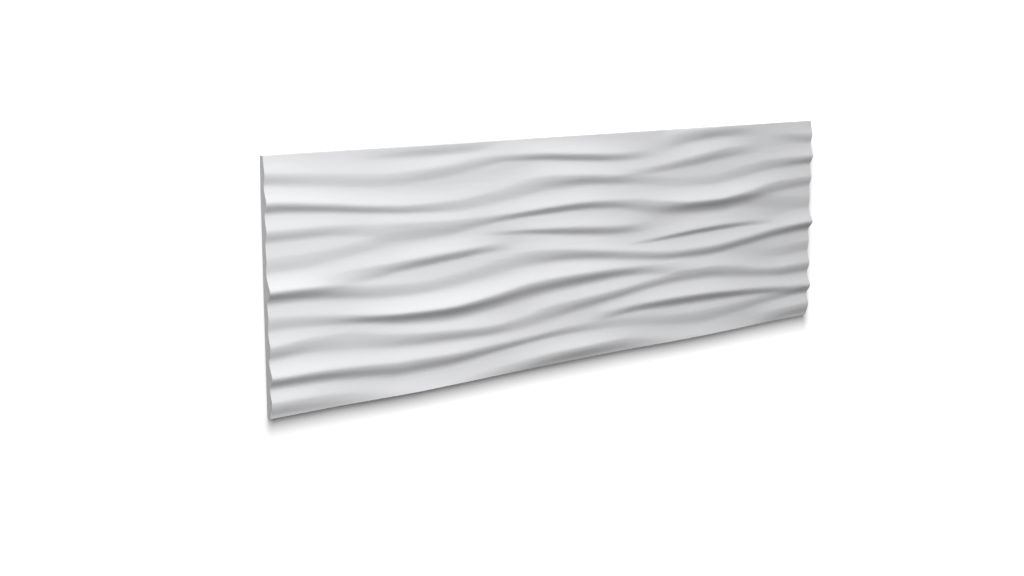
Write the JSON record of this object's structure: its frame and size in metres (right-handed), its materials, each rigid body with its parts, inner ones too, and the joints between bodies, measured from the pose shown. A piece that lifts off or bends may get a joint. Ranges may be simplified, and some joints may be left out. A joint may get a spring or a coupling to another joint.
{
  "type": "wall panel tile",
  "caption": "Rectangular moulded wall panel with a flat back and a rippled dune relief whose waves run on from one panel to the next.",
  "frame": {"origin": "centre of the flat back", "axes": "+X along the length, towards the right end seen from the front; +Y towards the top edge; +Z out of the relief face"},
  "size_m": [1.135, 0.38, 0.0266],
  "materials": {
    "primed_foam": "factory primer, matt white"
  },
  "bodies": {
    "root": {"wave_panel": "primed_foam"}
  },
  "joints": []
}
